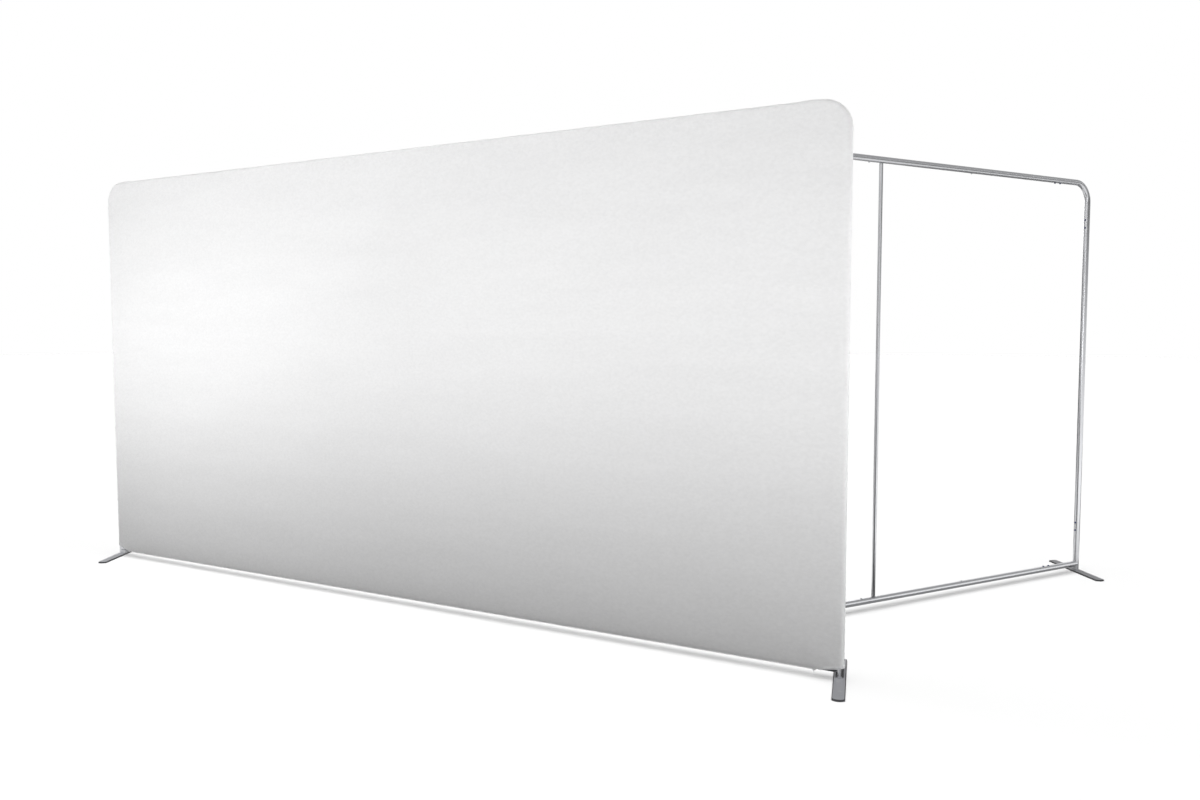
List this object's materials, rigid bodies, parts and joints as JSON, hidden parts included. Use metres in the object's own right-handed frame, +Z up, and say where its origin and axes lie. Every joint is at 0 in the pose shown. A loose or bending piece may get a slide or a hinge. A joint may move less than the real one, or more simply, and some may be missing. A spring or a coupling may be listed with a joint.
{
  "type": "tension fabric display wall",
  "caption": "Free-standing display wall: white zipped fabric stretched over a plug-together tube frame on flat feet, with a bare frame of the same system behind its end.",
  "frame": {"origin": "on the floor, at the middle of the set's outline", "axes": "+X along the covered wall, +Y from the wall's pictured face to its back, +Z up"},
  "size_m": [5.4971, 2.9263, 2.2851],
  "materials": {
    "white_fabric": "white stretch knit, matt",
    "zip_nylon": "white woven tape with a nylon coil",
    "zip_metal": "white enamelled zinc",
    "tube_aluminium": "satin drawn tube",
    "plug_steel": "zinc-plated",
    "foot_paint": "grey satin powder coat",
    "button_navy": "dark navy blue, glossy",
    "button_steel": "dull plated steel"
  },
  "bodies": {
    "display_frame": {"cover_front": "white_fabric", "cover_back": "white_fabric", "zip_tape": "zip_nylon", "wall_top_corner_left": "tube_aluminium", "wall_top_corner_right": "tube_aluminium", "wall_base_corner_left": "tube_aluminium", "wall_base_corner_right": "tube_aluminium", "wall_upright_tubes_left": "tube_aluminium", "wall_upright_tubes_right": "tube_aluminium", "wall_top_rail_tubes": "tube_aluminium", "wall_bottom_rail_tubes": "tube_aluminium", "wall_poles": "tube_aluminium", "bare_top_corner_inner": "tube_aluminium", "bare_top_corner_outer": "tube_aluminium", "bare_base_corner_inner": "tube_aluminium", "bare_base_corner_outer": "tube_aluminium", "bare_inner_upright_lower": "tube_aluminium", "bare_inner_upright_middle": "tube_aluminium", "bare_inner_upright_upper": "tube_aluminium", "bare_outer_upright_lower": "tube_aluminium", "bare_outer_upright_middle": "tube_aluminium", "bare_outer_upright_upper": "tube_aluminium", "bare_top_rail_outer": "tube_aluminium", "bare_top_rail_middle": "tube_aluminium", "bare_top_rail_inner": "tube_aluminium", "bare_bottom_rail_outer": "tube_aluminium", "bare_bottom_rail_middle": "tube_aluminium", "bare_bottom_rail_inner": "tube_aluminium", "bare_pole": "tube_aluminium", "pole_pins": "plug_steel", "corner_spigots": "plug_steel", "foot_screws": "plug_steel"},
    "foot_wall_left": {"foot_wall_left": "foot_paint"},
    "foot_wall_right": {"foot_wall_right": "foot_paint"},
    "foot_bare_inner": {"foot_bare_inner": "foot_paint"},
    "foot_bare_outer": {"foot_bare_outer": "foot_paint"},
    "bare_clip_top_rail_outer": {"bare_clip_top_rail_outer": "button_navy"},
    "bare_clip_top_rail_inner": {"bare_clip_top_rail_inner": "button_navy"},
    "bare_clip_bottom_rail_outer": {"bare_clip_bottom_rail_outer": "button_navy"},
    "bare_clip_bottom_rail_inner": {"bare_clip_bottom_rail_inner": "button_navy"},
    "bare_clip_upright_top_outer": {"bare_clip_upright_top_outer": "button_navy"},
    "bare_clip_upright_top_inner": {"bare_clip_upright_top_inner": "button_navy"},
    "bare_clip_upright_base_outer": {"bare_clip_upright_base_outer": "button_navy"},
    "bare_clip_upright_base_inner": {"bare_clip_upright_base_inner": "button_navy"},
    "bare_button_top_outer": {"bare_button_top_outer": "button_steel"},
    "bare_button_top_inner": {"bare_button_top_inner": "button_steel"},
    "bare_button_bottom_outer": {"bare_button_bottom_outer": "button_steel"},
    "bare_button_bottom_inner": {"bare_button_bottom_inner": "button_steel"},
    "wall_clip_top_rail_left": {"wall_clip_top_rail_left": "button_navy"},
    "wall_clip_top_rail_right": {"wall_clip_top_rail_right": "button_navy"},
    "wall_clip_bottom_rail_left": {"wall_clip_bottom_rail_left": "button_navy"},
    "wall_clip_bottom_rail_right": {"wall_clip_bottom_rail_right": "button_navy"},
    "wall_clip_upright_top_left": {"wall_clip_upright_top_left": "button_navy"},
    "wall_clip_upright_top_right": {"wall_clip_upright_top_right": "button_navy"},
    "wall_clip_upright_base_left": {"wall_clip_upright_base_left": "button_navy"},
    "wall_clip_upright_base_right": {"wall_clip_upright_base_right": "button_navy"},
    "wall_buttons_top_rail": {"wall_buttons_top_rail": "button_steel"},
    "wall_buttons_bottom_rail": {"wall_buttons_bottom_rail": "button_steel"},
    "zip_slider": {"zip_slider": "zip_metal"},
    "zip_pull": {"zip_pull": "zip_metal"}
  },
  "joints": [
    {"name": "foot_wall_left_swivel", "type": "hinge", "parent": "display_frame", "child": "foot_wall_left", "pos_m": [-2.61476, -1.22062, 0], "axis": [0, 0, 1], "range_deg": [-118, 62]},
    {"name": "foot_wall_right_swivel", "type": "hinge", "parent": "display_frame", "child": "foot_wall_right", "pos_m": [1.92324, -1.22062, 0], "axis": [0, 0, 1], "range_deg": [-105, 75]},
    {"name": "foot_bare_inner_swivel", "type": "hinge", "parent": "display_frame", "child": "foot_bare_inner", "pos_m": [1.26424, -0.98062, 0], "axis": [0, 0, 1], "range_deg": [-90, 90]},
    {"name": "foot_bare_outer_swivel", "type": "hinge", "parent": "display_frame", "child": "foot_bare_outer", "pos_m": [2.59063, 1.25327, 0], "axis": [0, 0, 1], "range_deg": [-66, 114]},
    {"name": "bare_clip_top_rail_outer_press", "type": "slide", "parent": "display_frame", "child": "bare_clip_top_rail_outer", "axis": [0, 0, 1], "range_m": [0, 0.0056], "stiffness_N_per_m": 2400, "springref_m": -0.003},
    {"name": "bare_clip_top_rail_inner_press", "type": "slide", "parent": "display_frame", "child": "bare_clip_top_rail_inner", "axis": [0, 0, 1], "range_m": [0, 0.0056], "stiffness_N_per_m": 2400, "springref_m": -0.003},
    {"name": "bare_clip_bottom_rail_outer_press", "type": "slide", "parent": "display_frame", "child": "bare_clip_bottom_rail_outer", "axis": [0, 0, -1], "range_m": [0, 0.0056], "stiffness_N_per_m": 2400, "springref_m": -0.003},
    {"name": "bare_clip_bottom_rail_inner_press", "type": "slide", "parent": "display_frame", "child": "bare_clip_bottom_rail_inner", "axis": [0, 0, -1], "range_m": [0, 0.0056], "stiffness_N_per_m": 2400, "springref_m": -0.003},
    {"name": "bare_clip_upright_top_outer_press", "type": "slide", "parent": "display_frame", "child": "bare_clip_upright_top_outer", "axis": [0.5105, 0.8599, 0], "range_m": [0, 0.0056], "stiffness_N_per_m": 2400, "springref_m": -0.003},
    {"name": "bare_clip_upright_top_inner_press", "type": "slide", "parent": "display_frame", "child": "bare_clip_upright_top_inner", "axis": [-0.5105, -0.8599, 0], "range_m": [0, 0.0056], "stiffness_N_per_m": 2400, "springref_m": -0.003},
    {"name": "bare_clip_upright_base_outer_press", "type": "slide", "parent": "display_frame", "child": "bare_clip_upright_base_outer", "axis": [0.5105, 0.8599, 0], "range_m": [0, 0.0056], "stiffness_N_per_m": 2400, "springref_m": -0.003},
    {"name": "bare_clip_upright_base_inner_press", "type": "slide", "parent": "display_frame", "child": "bare_clip_upright_base_inner", "axis": [-0.5105, -0.8599, 0], "range_m": [0, 0.0056], "stiffness_N_per_m": 2400, "springref_m": -0.003},
    {"name": "bare_button_top_outer_press", "type": "slide", "parent": "display_frame", "child": "bare_button_top_outer", "axis": [0, 0, 1], "range_m": [0, 0.0056], "stiffness_N_per_m": 1200, "springref_m": -0.003},
    {"name": "bare_button_top_inner_press", "type": "slide", "parent": "display_frame", "child": "bare_button_top_inner", "axis": [0, 0, 1], "range_m": [0, 0.0056], "stiffness_N_per_m": 1200, "springref_m": -0.003},
    {"name": "bare_button_bottom_outer_press", "type": "slide", "parent": "display_frame", "child": "bare_button_bottom_outer", "axis": [0, 0, -1], "range_m": [0, 0.0056], "stiffness_N_per_m": 1200, "springref_m": -0.003},
    {"name": "bare_button_bottom_inner_press", "type": "slide", "parent": "display_frame", "child": "bare_button_bottom_inner", "axis": [0, 0, -1], "range_m": [0, 0.0056], "stiffness_N_per_m": 1200, "springref_m": -0.003},
    {"name": "wall_clip_top_rail_left_press", "type": "slide", "parent": "display_frame", "child": "wall_clip_top_rail_left", "axis": [0, 0, 1], "range_m": [0, 0.0056], "stiffness_N_per_m": 2400, "springref_m": -0.003},
    {"name": "wall_clip_top_rail_right_press", "type": "slide", "parent": "display_frame", "child": "wall_clip_top_rail_right", "axis": [0, 0, 1], "range_m": [0, 0.0056], "stiffness_N_per_m": 2400, "springref_m": -0.003},
    {"name": "wall_clip_bottom_rail_left_press", "type": "slide", "parent": "display_frame", "child": "wall_clip_bottom_rail_left", "axis": [0, 0, -1], "range_m": [0, 0.0056], "stiffness_N_per_m": 2400, "springref_m": -0.003},
    {"name": "wall_clip_bottom_rail_right_press", "type": "slide", "parent": "display_frame", "child": "wall_clip_bottom_rail_right", "axis": [0, 0, -1], "range_m": [0, 0.0056], "stiffness_N_per_m": 2400, "springref_m": -0.003},
    {"name": "wall_clip_upright_top_left_press", "type": "slide", "parent": "display_frame", "child": "wall_clip_upright_top_left", "axis": [-1, 0, 0], "range_m": [0, 0.0056], "stiffness_N_per_m": 2400, "springref_m": -0.003},
    {"name": "wall_clip_upright_top_right_press", "type": "slide", "parent": "display_frame", "child": "wall_clip_upright_top_right", "axis": [1, 0, 0], "range_m": [0, 0.0056], "stiffness_N_per_m": 2400, "springref_m": -0.003},
    {"name": "wall_clip_upright_base_left_press", "type": "slide", "parent": "display_frame", "child": "wall_clip_upright_base_left", "axis": [-1, 0, 0], "range_m": [0, 0.0056], "stiffness_N_per_m": 2400, "springref_m": -0.003},
    {"name": "wall_clip_upright_base_right_press", "type": "slide", "parent": "display_frame", "child": "wall_clip_upright_base_right", "axis": [1, 0, 0], "range_m": [0, 0.0056], "stiffness_N_per_m": 2400, "springref_m": -0.003},
    {"name": "wall_buttons_top_rail_press", "type": "slide", "parent": "display_frame", "child": "wall_buttons_top_rail", "axis": [0, 0, 1], "range_m": [0, 0.0056], "stiffness_N_per_m": 5000, "springref_m": -0.003},
    {"name": "wall_buttons_bottom_rail_press", "type": "slide", "parent": "display_frame", "child": "wall_buttons_bottom_rail", "axis": [0, 0, -1], "range_m": [0, 0.0056], "stiffness_N_per_m": 5000, "springref_m": -0.003},
    {"name": "zip_slide", "type": "slide", "parent": "display_frame", "child": "zip_slider", "axis": [-1, 0, 0], "range_m": [0, 4.3262]},
    {"name": "zip_pull_swing", "type": "hinge", "parent": "zip_slider", "child": "zip_pull", "pos_m": [1.81734, -1.22062, 0.0196], "axis": [0, 1, 0], "range_deg": [-90, 90]}
  ]
}
